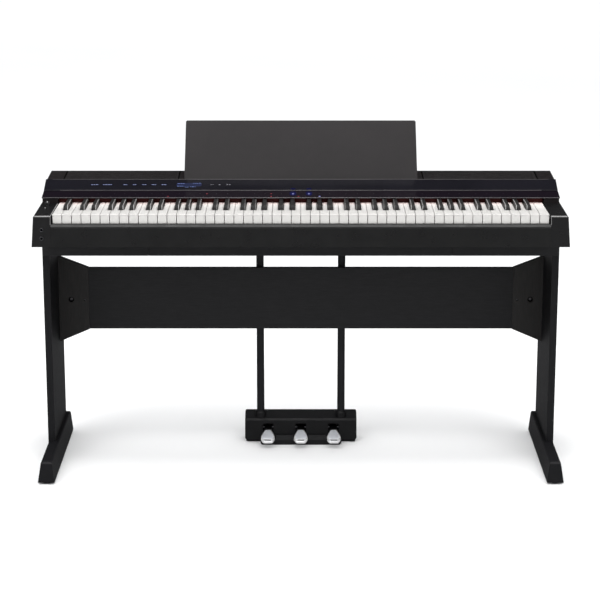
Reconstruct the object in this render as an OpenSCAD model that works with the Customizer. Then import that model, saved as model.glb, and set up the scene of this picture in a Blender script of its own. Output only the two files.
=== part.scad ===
// Slim 88-key digital piano on a two-leg board stand with a three-pedal unit.
// Frame: X across the keyboard (+X is the treble end), Y from the player
// towards the back, Z up. The origin is the centre of the footprint, on the floor.

/* [Instrument] */
// Width over the two end cheeks
body_w = 1329; // [1310:1:1340]
// Height of the instrument's underside above the floor
body_z = 613; // [590:1:640]
// Width of one white key position, gap included
key_pitch = 23.6; // [23.4:0.05:23.65]
// Gap between neighbouring keys
key_gap = 1.0; // [0.8:0.1:1.2]
// Width of a black key at its base
black_w = 13; // [10:0.5:14]
// Slant of the key tops, falling towards the back
key_slant = 1.19; // [0.5:0.01:1.5]

/* [Music rest] */
// Width of the music rest at its foot
rest_w = 604; // [560:1:606]
// Thickness of the music rest
rest_t = 4; // [3:0.5:5]
// Backward lean of the music rest from vertical
rest_lean = 20; // [15:1:22]
// Length of the music rest along its slope
rest_len = 165; // [140:1:180]

/* [Stand] */
// Thickness of the two leg boards
leg_t = 18; // [16:1:20]
// Depth of the leg boards, front to back
leg_d = 226; // [210:1:226]
// Length of each foot, front to back
foot_len = 396; // [380:1:420]
// Height of the top of the feet above the floor
foot_h = 60; // [54:1:64]
// Height of the glides under the feet
glide_h = 5; // [3:0.5:8]
// Height of the back board
board_h = 166; // [140:1:180]
// Thickness of the back board
board_t = 15; // [12:1:18]

/* [Pedals] */
// Spacing of the pedals
pedal_pitch = 88; // [80:1:92]
// Diameter of the two rods that hold the pedal box
rod_d = 20; // [16:1:22]

/* [Hidden] */

// instrument, front to back
yf = -172;             // front of the body at its underside
yr = 176;              // back of the body
hx = body_w/2;         // outer face of the cheeks at the underside
cheek_top = body_z + 76;
cheek_in = 617;        // inner face of the cheeks
side_top = 656;        // half width of the top cover

// keyboard
kx0 = -26*key_pitch;   // left edge of the first white key
wy = -155;             // front of the white keys
wz = body_z + 79.3;    // top front edge of the white keys
by = -105;             // front of the black keys
py = 72;               // key pivot
pz = body_z + 63;
rod_r = 2;
fit = 0.05;            // radial running clearance
ts = tan(key_slant);

// stand
lx1 = 656.8;           // outer face of the legs
lx0 = lx1 - leg_t;
ly0 = -46;
ly1 = ly0 + leg_d;
rail_z = body_z - 54.5;
bz0 = 319;             // bottom of the back board
bz1 = bz0 + board_h;
bpy = 110;             // front face of the back board
bx0 = 560;             // half width of the back board

// pedal unit
pay = 146;             // pedal axle
paz = 31;
rpx = 108;             // pedal rods, each side of the middle
rpy = 137;

function has_black(w) = w >= 0 && w < 51 && (w % 7 == 0 || w % 7 == 2 || w % 7 == 3 || w % 7 == 5 || w % 7 == 6);
// a black key's middle, relative to the joint between its two white keys
function black_off(w) = [3, 0, -2.5, 2.5, 0, -3, 0][w % 7];
function black_x(w) = kx0 + (w + 1)*key_pitch + black_off(w);
// height of the slanted key line at a given depth
function kz(y, z) = z - (y - wy)*ts;

module along_x(x0, x1) translate([x0, 0, 0]) rotate([90, 0, 90]) linear_extrude(height = x1 - x0) children();
module along_y(y0, y1) translate([0, y1, 0]) rotate([90, 0, 0]) linear_extrude(height = y1 - y0) children();
module cyl_x(x0, x1, y, z, r) translate([x0, y, z]) rotate([0, 90, 0]) cylinder(r = r, h = x1 - x0, $fn = 48);
module cyl_y(x, y0, y1, z, r) translate([x, y1, z]) rotate([90, 0, 0]) cylinder(r = r, h = y1 - y0, $fn = 48);
module block(x0, x1, y0, y1, z0, z1) translate([x0, y0, z0]) cube([x1 - x0, y1 - y0, z1 - z0]);
module both() { children(); mirror([1, 0, 0]) children(); }
// pan-head screw pointing along +Z
module screw_up(d, l) { cylinder(d = d, h = l, $fn = 32); translate([0, 0, -d*0.45]) cylinder(d = d*1.9, h = d*0.45, $fn = 32); }

// ---------------- instrument case ----------------
module bottom_case() {
  color("#1c1c1e") union() {
    // floor tray between the cheeks
    block(-616.6, 616.6, -157, yr, body_z, body_z + 4);
    // back wall, open in the middle for the jack panel
    both() block(140, 616.6, 172, yr, body_z, body_z + 40);
    // stiffening ribs along the floor
    for (x = [-520, -390, -260, -130, 0, 130, 260, 390, 520]) block(x - 1.5, x + 1.5, -150, 158, body_z + 4, body_z + 14);
    block(-612, 612, -154, -151, body_z + 4, body_z + 30);
  }
}

module front_rail() {
  color("#242426") along_x(-616.8, 616.8) difference() {
    polygon([[yf, body_z], [-157.2, body_z], [-157.2, body_z + 55.5], [-158.8, body_z + 56.2],
             [-161.5, body_z + 54.6], [-165, body_z + 49.5], [-166.4, body_z + 46]]);
    // hollow back of the moulding
    polygon([[-168.3, body_z + 4], [-157, body_z + 4], [-157, body_z + 44], [-163.4, body_z + 44]]);
  }
}

// end cheek on the +X side; the -X one is its mirror image
module cheek_shell() {
  difference() {
    intersection() {
      along_y(yf, yr) polygon([[cheek_in, body_z], [hx, body_z], [hx - 4, cheek_top - 3], [hx - 6.5, cheek_top], [cheek_in, cheek_top]]);
      along_x(600, 700) polygon([[yf, body_z], [yr, body_z], [yr, cheek_top], [-157, cheek_top], [-160, cheek_top - 2.5]]);
    }
    // inside of the shell
    block(cheek_in + 4, hx - 8, -157, yr - 4, body_z + 4, cheek_top - 4);
    // cable way into the case, behind the keyboard
    block(cheek_in - 1, cheek_in + 5, 92, 164, body_z + 10, cheek_top - 10);
  }
}
module right_cheek() { color("#212123") cheek_shell(); }
module left_cheek() {
  color("#212123") difference() {
    mirror([1, 0, 0]) cheek_shell();
    // phones sockets in the front
    for (z = [21.5, 42]) cyl_y(-639.5, -180, -150, body_z + z, 5.2);
    // volume control and power button in the top
    translate([-641, -40, cheek_top - 8]) cylinder(r = 4.2, h = 12, $fn = 48);
    translate([-641, -80, cheek_top - 8]) cylinder(r = 4.3, h = 12, $fn = 48);
  }
}

module top_cover() {
  color("#29282a") difference() {
    union() {
      along_x(-side_top, side_top) difference() {
        union() {
          polygon([[-18, cheek_top + 0.1], [-18, body_z + 87.8], [22, body_z + 95], [70.4, body_z + 113], [70.4, body_z + 117.2],
                   [166, body_z + 122], [yr, body_z + 112], [yr, cheek_top + 0.1]]);
          translate([166, body_z + 112]) circle(r = 10, $fn = 64);
        }
      }
      // back wall between the cheeks
      block(-616.6, 616.6, yr - 4, yr, body_z + 40.2, cheek_top + 5);
    }
    // inside
    along_x(-side_top + 3.5, side_top - 3.5) polygon([[-14, cheek_top - 5], [-14, body_z + 85.6], [22, body_z + 91.8], [68, body_z + 109],
             [68, body_z + 113.6], [166, body_z + 118.4], [yr - 4, body_z + 112], [yr - 4, cheek_top - 5]]);
    // clear of the keys and the felt between the cheeks
    block(-616.6, 616.6, -30, 3, body_z + 60, body_z + 100);
    // openings for the grilles and the rest holder
    block(-612.4, 612.4, 76, 165, body_z + 100, body_z + 130);
  }
}

// panels that fill the top of the cover share its slope
function deck_z(y) = body_z + 116.2 + (y - 70.4)*4.8/95.6;
module deck(x0, x1, y0, y1, t) along_x(x0, x1) polygon([[y0, deck_z(y0) - t], [y1, deck_z(y1) - t], [y1, deck_z(y1)], [y0, deck_z(y0)]]);

module grille() {
  difference() {
    union() {
      deck(317.7, 611.4, 76.6, 164.4, 2.6);
      // snap ribs
      for (x = [330, 400, 470, 540, 600]) block(x, x + 2, 158, 163.8, deck_z(160) - 10, deck_z(158) - 1);
    }
    // sound slots over the speaker
    for (i = [0:7]) block(425, 505, 88 + 9*i, 91 + 9*i, body_z + 100, body_z + 130);
  }
}
module right_speaker_grille() { color("#2e2c2d") grille(); }
module left_speaker_grille() { color("#2e2c2d") mirror([1, 0, 0]) grille(); }

// music rest, standing in its slot and leaning back
ry = 82;  rz = body_z + 106;
module on_rest() translate([0, ry, rz]) rotate([-rest_lean, 0, 0]) children();
module rest_holder() {
  color("#262527") difference() {
    union() {
      deck(-316.7, 316.7, 76.6, 164.4, 2.6);
      // trough that carries the foot of the rest
      block(-312, 312, 77, 96, body_z + 99.5, body_z + 116.2);
    }
    on_rest() block(-rest_w/2 - 0.8, rest_w/2 + 0.8, -rest_t/2 - 0.4, rest_t/2 + 0.4, -0.4, 40);
  }
}
module music_rest() {
  color("#413f40") on_rest() along_y(-rest_t/2, rest_t/2)
    polygon([[-rest_w/2, 0], [rest_w/2, 0], [rest_w/2 - 3.6, rest_len - 3], [rest_w/2 - 6.6, rest_len], [-rest_w/2 + 6.6, rest_len], [-rest_w/2 + 3.6, rest_len - 3]]);
}

module control_panel() {
  color("#1f1e24") along_x(-side_top - 1.5, side_top + 1.5)
    polygon([[22.3, body_z + 96.6], [70, body_z + 114.7], [70, body_z + 119], [68.6, body_z + 120.2], [67, body_z + 120], [23.5, body_z + 101.5], [22.3, body_z + 100.4]]);
}
module light_strip() {
  color("#201b22") along_x(-side_top - 1.5, side_top + 1.5)
    polygon([[-20, body_z + 89], [-18, body_z + 88.9], [22, body_z + 96.3], [22, body_z + 99.3], [-18.5, body_z + 92], [-20, body_z + 91]]);
}

// ---------------- key action ----------------
white_head = [[wy + 0.9, body_z + 55.6], [wy + 3.6, body_z + 55.6], [wy + 3.6, body_z + 59], [by - 1, body_z + 59], [by - 1, kz(by - 1, wz)], [wy + 1.2, wz], [wy, wz - 1.2], [wy, wz - 3.2], [wy + 0.9, wz - 4.1]];
white_neck = [[by - 1.5, body_z + 59], [40, body_z + 59], [40, kz(-8, wz) - 8], [-8, kz(-8, wz) - 8], [-8, kz(-8, wz)], [by - 1.5, kz(by - 1.5, wz)]];
key_tail = [[39, body_z + 59], [82, body_z + 59], [84, body_z + 61], [84, body_z + 68], [82, body_z + 70], [39, body_z + 70]];

module white_key(w) {
  x0 = kx0 + w*key_pitch + key_gap/2;
  x1 = x0 + key_pitch - key_gap;
  xl = has_black(w - 1) ? black_x(w - 1) + black_w/2 + key_gap : x0;
  xr = has_black(w) ? black_x(w) - black_w/2 - key_gap : x1;
  difference() {
    union() {
      along_x(x0, x1) polygon(white_head);
      along_x(xl, xr) polygon(white_neck);
      along_x(xl + 2, xr - 2) polygon(key_tail);
    }
    cyl_x(xl, xr, py, pz, rod_r + fit);
  }
}
bt = wz + 11.4;  // line of the black keys' tops, continued to the front of the white keys
module black_key(w) {
  x = black_x(w);
  difference() {
    union() {
      intersection() {
        translate([x, 0, 0]) along_y(by - 1, -9) polygon([[-black_w/2, body_z + 61], [black_w/2, body_z + 61], [black_w/2, wz - 3], [black_w/2 - 1.5, bt], [-black_w/2 + 1.5, bt], [-black_w/2, wz - 3]]);
        along_x(x - 10, x + 10) polygon([[by, body_z + 61], [-9, body_z + 61], [-9, kz(-9, bt)], [by + 8, kz(by + 8, bt)], [by + 5.6, kz(by + 8, bt) - 0.8], [by + 0.6, wz - 4]]);
      }
      along_x(x - black_w/2, x + black_w/2) polygon([[-10, body_z + 61], [40, body_z + 61], [40, body_z + 70], [-10, body_z + 70]]);
      along_x(x - black_w/2 + 2, x + black_w/2 - 2) polygon(key_tail);
    }
    cyl_x(x - black_w/2, x + black_w/2, py, pz, rod_r + fit);
  }
}

module white_keys_bass() { color("#e8e6e2") for (w = [0:22]) white_key(w); }
module white_keys_treble() { color("#e8e6e2") for (w = [30:51]) white_key(w); }
module black_keys_bass() { color("#19191a") for (w = [0:22]) if (has_black(w)) black_key(w); }
module black_keys_treble() { color("#19191a") for (w = [30:50]) if (has_black(w)) black_key(w); }
module key_c4() { color("#e8e6e2") white_key(23); }
module key_d4() { color("#e8e6e2") white_key(24); }
module key_e4() { color("#e8e6e2") white_key(25); }
module key_f4() { color("#e8e6e2") white_key(26); }
module key_g4() { color("#e8e6e2") white_key(27); }
module key_a4() { color("#e8e6e2") white_key(28); }
module key_b4() { color("#e8e6e2") white_key(29); }
module key_c_sharp4() { color("#19191a") black_key(23); }
module key_d_sharp4() { color("#19191a") black_key(24); }
module key_f_sharp4() { color("#19191a") black_key(26); }
module key_g_sharp4() { color("#19191a") black_key(27); }
module key_a_sharp4() { color("#19191a") black_key(28); }

// red felt strip that closes the slit behind the keys
module key_felt() {
  color("#5c2a2a") along_x(-615, 615) polygon([[-7, body_z + 76.5], [2, body_z + 76.5], [2, body_z + 92.4], [-7, body_z + 90.8]]);
}

// pressed-steel chassis: a floor, front ledges for the stop felts, and ribs that carry the pivot rod
module key_frame() {
  color("#8d9094") difference() {
    union() {
      block(-612, 612, -148, 100, body_z + 14, body_z + 16);
      block(-612, 612, -134, -112, body_z + 16, body_z + 46);
      block(-612, 612, -101, -86, body_z + 16, body_z + 48);
      // ribs where two white keys meet with no black key between
      for (w = [0:50]) if (!has_black(w)) block(kx0 + (w + 1)*key_pitch - 1, kx0 + (w + 1)*key_pitch + 1, 50, 98, body_z + 16, body_z + 74);
      for (s = [-1, 1]) block(s*614.8 - 0.8, s*614.8 + 0.8, 50, 98, body_z + 14, body_z + 74);
      for (s = [-1, 1]) block(min(s*611, s*615.6), max(s*611, s*615.6), -148, 98, body_z + 14, body_z + 16);
    }
    cyl_x(-620, 620, py, pz, rod_r + fit);
  }
}
module key_pivot_rod() { color("#c9cbd0") cyl_x(-615.8, 615.8, py, pz, rod_r); }
module key_stop_felt() {
  color("#6d2f34") union() {
    block(-611, 611, -132, -114, body_z + 46, body_z + 49.5);
    block(-611, 611, -100, -87, body_z + 48, body_z + 50.5);
  }
}
module contact_board() { color("#2f6b46") block(-606, 606, -30, 30, body_z + 38, body_z + 39.6); }
module contact_domes() {
  color("#5a5a5c") union() {
    block(-605, 605, -9, 11, body_z + 39.6, body_z + 41);
    for (w = [0:51]) translate([kx0 + (w + 0.5)*key_pitch, 1, body_z + 40.5]) cylinder(r = 4, h = 14, $fn = 32);
    for (w = [0:50]) if (has_black(w)) translate([black_x(w), 1, body_z + 40.5]) cylinder(r = 3.2, h = 14, $fn = 32);
  }
}

// ---------------- electronics ----------------
module main_board() {
  color("#2f6b46") union() {
    block(-240, 240, 104, 156, body_z + 20, body_z + 21.6);
    for (x = [-200, -60, 90]) block(x, x + 30, 118, 148, body_z + 21.6, body_z + 24);
    for (x = [-130, 20, 170]) translate([x, 125, body_z + 21.6]) cylinder(r = 7, h = 16, $fn = 32);
    for (x = [-230, 230]) for (y = [108, 156]) translate([x, y, body_z + 4]) cylinder(r = 3, h = 16, $fn = 32);
  }
}
module speaker(s) {
  translate([s*465, 122, 0]) rotate_extrude($fn = 72) polygon([[0, body_z + 84], [26, body_z + 84], [26, body_z + 92], [38, body_z + 106],
    [41, body_z + 106], [41, body_z + 108.6], [36, body_z + 108.6], [16, body_z + 100], [10, body_z + 102.5], [0, body_z + 104]]);
}
module left_speaker() { color("#3a3a3d") speaker(-1); }
module right_speaker() { color("#3a3a3d") speaker(1); }

module volume_knob() {
  color("#2c2c2e") translate([-641, -40, cheek_top]) difference() {
    union() {
      translate([0, 0, 0.6]) cylinder(r = 6.5, h = 7, $fn = 64);
      translate([0, 0, 7.6]) cylinder(r1 = 6.5, r2 = 5.8, h = 0.8, $fn = 64);
    }
    // pointer groove
    block(-0.5, 0.5, 1.5, 6, 7.6, 9);
    translate([0, 0, -1]) cylinder(r = 1.6 + fit, h = 7, $fn = 48);
  }
}
module volume_control() {
  color("#7c7e82") union() {
    translate([-641, -40, cheek_top - 13]) cylinder(r = 6, h = 7, $fn = 48);
    translate([-641, -40, cheek_top - 7]) cylinder(r = 3.4, h = 7, $fn = 48);
    translate([-641, -40, cheek_top - 1]) cylinder(r = 1.6, h = 6.6, $fn = 48);
  }
}
module power_button() {
  color("#303032") translate([-641, -80, 0]) union() {
    translate([0, 0, cheek_top - 6]) cylinder(r = 3.9, h = 8.2, $fn = 48);
    translate([0, 0, cheek_top - 11]) cylinder(r = 5.4, h = 5.5, $fn = 48);
  }
}
module phones_jacks() {
  color("#3b3b3e") for (z = [21.5, 42]) difference() {
    union() {
      cyl_y(-639.5, -170.4 + (z - 21.5)*0.17, -150, body_z + z, 5);
      cyl_y(-639.5, -156.6, -138, body_z + z, 7);
    }
    cyl_y(-639.5, -175, -142, body_z + z, 3.25);
  }
}
module rear_jack_panel() {
  sz = body_z + 23;
  color("#303134") difference() {
    block(-139.7, 139.7, 163, 175.4, body_z + 4.1, body_z + 39.9);
    // power inlet, two line sockets, switch pedal
    cyl_y(-118, 160, 180, sz, 3.2);
    for (x = [-90, -64, 34]) cyl_y(x, 160, 180, sz, 3.25);
    // data socket and the flat socket of the pedal unit
    block(-4.4, 4.4, 160, 180, sz - 4, sz + 4);
    block(60, 82, 160, 180, sz - 4, sz + 4);
  }
}
module case_screws() {
  color("#7f8286") union() {
    for (x = [-560, -420, -280, -140, 0, 140, 280, 420, 560]) {
      translate([x, 150, body_z - 1.8]) { cylinder(d = 7, h = 1.8, $fn = 32); cylinder(d = 3.2, h = 11, $fn = 32); }
      translate([x, -140, body_z - 1.8]) { cylinder(d = 7, h = 1.8, $fn = 32); cylinder(d = 3.2, h = 5, $fn = 32); }
    }
    for (x = [-590, -300, 300, 590]) { cyl_y(x, yr, yr + 1.6, body_z + 66, 3.4); cyl_y(x, yr - 8, yr + 0.5, body_z + 66, 1.6); }
  }
}

// ---------------- stand ----------------
module leg() {
  difference() {
    block(lx0, lx1, ly0, ly1, foot_h - 22, body_z);
    // notch for the top rail
    block(lx0 - 1, lx1 + 1, ly0 - 1, ly0 + 18, rail_z, body_z + 1);
  }
}
module right_leg() { color("#262628") leg(); }
module left_leg() { color("#262628") mirror([1, 0, 0]) leg(); }

module foot() {
  difference() {
    intersection() {
      along_y(-foot_len/2, foot_len/2) polygon([[623, glide_h], [hx, glide_h], [hx, glide_h + 3], [656.4, foot_h - 3], [654.4, foot_h], [630.4, foot_h], [628.4, foot_h - 3], [623, glide_h + 3]]);
      along_x(600, 680) polygon([[-foot_len/2, glide_h], [foot_len/2, glide_h], [foot_len/2 - 1, foot_h - 8], [foot_len/2 - 6, foot_h], [-foot_len/2 + 5, foot_h], [-foot_len/2 + 1, foot_h - 5]]);
    }
    // socket for the leg
    block(lx0 - 0.02, lx1 + 0.02, ly0 - 0.02, ly1 + 0.02, foot_h - 22, foot_h + 1);
  }
}
module right_foot() { color("#222224") foot(); }
module left_foot() { color("#222224") mirror([1, 0, 0]) foot(); }
module foot_glides() {
  color("#101011") both() for (y = [-178, 0, 178]) translate([643.6, y, 0]) {
    cylinder(r1 = 12, r2 = 13, h = 1, $fn = 48);
    translate([0, 0, 1]) cylinder(r = 13, h = glide_h - 1, $fn = 48);
  }
}

module top_rail() {
  color("#232325") difference() {
    block(-lx1, lx1, ly0, ly0 + 18, rail_z, body_z);
    // fine grooves where the three lengths of edge trim meet
    for (x = [-386, 386]) block(x - 0.9, x + 0.9, ly0 - 1, ly0 + 2, rail_z - 1, body_z + 1);
  }
}

module back_board() { color("#242426") block(-bx0, bx0, bpy, bpy + board_t, bz0, bz1); }
module bracket() {
  difference() {
    along_y(bpy - 1.5, bpy + board_t - 1) polygon([[bx0 + 0.2, bz0 - 1], [lx0, bz0 - 35], [lx0, bz1 + 32], [bx0 + 0.2, bz1 + 1]]);
    cyl_y(606.6, bpy - 3, bpy + 9, bz0 + 80, 7.5);
    cyl_y(571, bpy - 3, bpy + 6, bz0 + 79, 2.6);
  }
}
module right_bracket() { color("#292829") bracket(); }
module left_bracket() { color("#292829") mirror([1, 0, 0]) bracket(); }

module stand_bolts() {
  color("#77797d") union() {
    both() {
      // cam locks in the brackets
      difference() {
        cyl_y(606.6, bpy + 5, bpy + 9, bz0 + 80, 7.4);
        block(600, 613, bpy + 4, bpy + 6.5, bz0 + 79.2, bz0 + 80.8);
      }
      cyl_y(571, bpy + 3, bpy + 6, bz0 + 79, 2.5);
      // bolt heads on the outer face of the legs: into the brackets
      for (z = [bz0 - 4, bz1 + 4]) { cyl_x(lx1 - 1.2, lx1 + 1.8, bpy + 6.5, z, 6); cyl_x(lx1 - 26, lx1 - 1, bpy + 6.5, z, 2.9); }
      // into the ends of the top rail
      cyl_x(lx1 - 0.2, lx1 + 1.8, ly0 + 9, rail_z + 27, 6);
      cyl_x(lx1 - 12, lx1, ly0 + 9, rail_z + 27, 2.9);
    }
  }
}

// ---------------- pedal unit ----------------
module housing_side(o) {
  polygon([[112 + o, 8 - 2*o], [120.5 + o, 58 - o], [124 + o*0.6, 63 - o], [158 - o, 77 - o], [164 - o, 74 - o], [166 - o, 8 - 2*o]]);
}
module round_rect(x0, x1, y0, y1, r) {
  translate([x0 + r, y0]) square([x1 - x0 - 2*r, y1 - y0]);
  translate([x0, y0 + r]) square([x1 - x0, y1 - y0 - 2*r]);
  for (x = [x0 + r, x1 - r]) for (y = [y0 + r, y1 - r]) translate([x, y]) circle(r = r, $fn = 48);
}
module pedal_housing() {
  color("#232325") difference() {
    union() {
      difference() {
        intersection() {
          along_x(-150, 150) housing_side(0);
          // round ends, seen from the front, under a lid that slopes up to the back
          along_y(100, 170) round_rect(-150, 150, 7, 77.1, 6);
          // round vertical corners
          linear_extrude(height = 100) round_rect(-150, 150, 100, 166, 8);
        }
        along_x(-147, 147) housing_side(3);
      }
      // cross ribs that carry the axle, and sockets for the rods
      for (x = [-132, -44, 44, 132]) along_x(x - 2, x + 2) intersection() { housing_side(1); translate([128, 8]) square([32, 70]); }
      for (s = [-1, 1]) intersection() {
        along_x(-150, 150) housing_side(1);
        translate([s*rpx, rpy, 43]) cylinder(d = rod_d + 9, h = 50, $fn = 64);
      }
    }
    for (i = [-1:1]) block(i*pedal_pitch - 14.5, i*pedal_pitch + 14.5, 100, 130, -1, 50);
    cyl_x(-134.5, 134.5, pay, paz, 3 + fit);
    for (s = [-1, 1]) translate([s*rpx, rpy, 45.5]) cylinder(d = rod_d + 0.1, h = 60, $fn = 64);
  }
}
module pedal_base() {
  color("#202022") difference() {
    union() {
      translate([0, 0, 2]) linear_extrude(height = 5.9) round_rect(-147, 147, 113, 164, 5);
      // front sill between the pedals, standing on the floor
      intersection() {
        along_y(85, 165) round_rect(-108, 108, 0, 40, 7);
        along_x(-108, 108) polygon([[90, 0], [160, 0], [160, 4], [111.8, 4], [111.8, 20], [105, 22], [94, 12]]);
      }
    }
    // room for each pedal to travel
    for (i = [-1:1]) block(i*pedal_pitch - 20, i*pedal_pitch + 20, 108, 131, 3, 40);
    for (i = [-1:1]) block(i*pedal_pitch - 20, i*pedal_pitch + 20, 80, 108.5, 11, 40);
  }
}
// one pedal: a lever with a broad rounded toe
module pedal_plan() {
  polygon([[-11, 156], [-11, 114], [-17.8, 68], [-18.5, 60], [18.5, 60], [17.8, 68], [11, 114], [11, 156]]);
  // round corners of the toe
  for (s = [-1, 1]) translate([s*8.5, 58]) circle(r = 10, $fn = 64);
  polygon([[-8.5, 48], [8.5, 48], [8.5, 62], [-8.5, 62]]);
}
module pedal(i) {
  difference() {
    union() {
      translate([i*pedal_pitch, 0, 0]) intersection() {
        linear_extrude(height = 60) pedal_plan();
        along_x(-30, 30) polygon([[48, 17.5], [56, 19.5], [76, 23], [110, 25], [140, 25], [156, 25], [156, 37], [128, 37], [117, 34], [92, 33.5], [72, 31.5], [58, 28], [50, 24.5], [48, 22.5]]);
      }
    }
    cyl_x(i*pedal_pitch - 12, i*pedal_pitch + 12, pay, paz, 3 + fit);
  }
}
module soft_pedal() { color("#c9ccd1") pedal(-1); }
module sostenuto_pedal() { color("#c9ccd1") pedal(0); }
module damper_pedal() { color("#c9ccd1") pedal(1); }
module pedal_axle() { color("#a9acb1") cyl_x(-134, 134, pay, paz, 3); }
module pedal_rods() {
  color("#2a2a2d") both() translate([rpx, rpy, 45.5]) cylinder(d = rod_d, h = body_z - 45.5, $fn = 64);
}
module rod_collars() {
  color("#1b1b1d") both() translate([rpx, rpy, 0]) difference() {
    translate([0, 0, 64]) union() {
      cylinder(d = rod_d + 9, h = 14, $fn = 64);
      translate([0, 0, 14]) cylinder(d1 = rod_d + 9, d2 = rod_d + 4, h = 4, $fn = 64);
    }
    cylinder(d = rod_d + 0.02, h = 120, $fn = 64);
    // follows the slope of the box lid
    along_x(-30, 30) polygon([[-40, 40], [40, 40], [40, 63 + (rpy + 40 - 124)*14/34], [-40, 63 + (rpy - 40 - 124)*14/34]]);
  }
}

bottom_case();
front_rail();
left_cheek();
right_cheek();
top_cover();
control_panel();
light_strip();
left_speaker_grille();
right_speaker_grille();
rest_holder();
music_rest();
key_felt();
key_frame();
key_pivot_rod();
key_stop_felt();
contact_board();
contact_domes();
main_board();
left_speaker();
right_speaker();
volume_knob();
volume_control();
power_button();
phones_jacks();
rear_jack_panel();
case_screws();
white_keys_bass();
white_keys_treble();
black_keys_bass();
black_keys_treble();
key_c4();
key_c_sharp4();
key_d4();
key_d_sharp4();
key_e4();
key_f4();
key_f_sharp4();
key_g4();
key_g_sharp4();
key_a4();
key_a_sharp4();
key_b4();
left_leg();
right_leg();
left_foot();
right_foot();
foot_glides();
back_board();
left_bracket();
right_bracket();
top_rail();
stand_bolts();
pedal_housing();
pedal_base();
soft_pedal();
sostenuto_pedal();
damper_pedal();
pedal_axle();
pedal_rods();
rod_collars();
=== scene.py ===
# Looks of the digital piano on its stand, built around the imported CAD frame. Metres; X across, Y to the back, Z up.
import math
import bpy, bmesh
from mathutils import Vector, Matrix


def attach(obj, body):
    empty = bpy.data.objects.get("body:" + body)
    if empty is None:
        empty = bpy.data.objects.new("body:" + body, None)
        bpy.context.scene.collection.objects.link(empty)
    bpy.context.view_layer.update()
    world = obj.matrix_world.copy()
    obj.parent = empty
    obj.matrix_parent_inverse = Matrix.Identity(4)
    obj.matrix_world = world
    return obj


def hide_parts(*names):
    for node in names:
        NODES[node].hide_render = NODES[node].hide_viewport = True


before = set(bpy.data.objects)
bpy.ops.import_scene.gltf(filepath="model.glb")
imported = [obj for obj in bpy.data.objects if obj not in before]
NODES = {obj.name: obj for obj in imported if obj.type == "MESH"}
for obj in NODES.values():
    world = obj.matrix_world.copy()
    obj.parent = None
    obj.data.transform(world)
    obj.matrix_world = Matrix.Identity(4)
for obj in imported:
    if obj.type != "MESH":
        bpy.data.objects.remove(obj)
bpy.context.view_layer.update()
scene = bpy.context.scene
MM = 0.001
BZ = 613.0   # underside of the instrument, mm
WY, WZ = -155.0, BZ + 79.3
TS = math.tan(math.radians(1.19))
PITCH, GAP, BLACK_W, BY = 23.6, 1.0, 13.0, -105.0
KX0 = -26 * PITCH


# ------------------------------------------------------------------ camera
def make_camera():
    data = bpy.data.cameras.new("camera")
    cam = bpy.data.objects.new("camera", data)
    scene.collection.objects.link(cam)
    data.sensor_width = 36.0
    data.lens = CAM["f"] * 36.0 / 600.0
    data.shift_y = CAM["shift"]
    data.shift_x = -0.8 / 600.0
    cam.location = (0, CAM["y"], CAM["z"])
    cam.rotation_euler = (math.radians(90 - CAM["pitch"]), 0, 0)
    data.clip_end = 200
    scene.camera = cam


CAM = dict(f=1830.0, shift=-0.15, y=-4.550, z=1.722, pitch=13.05)
make_camera()


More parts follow.
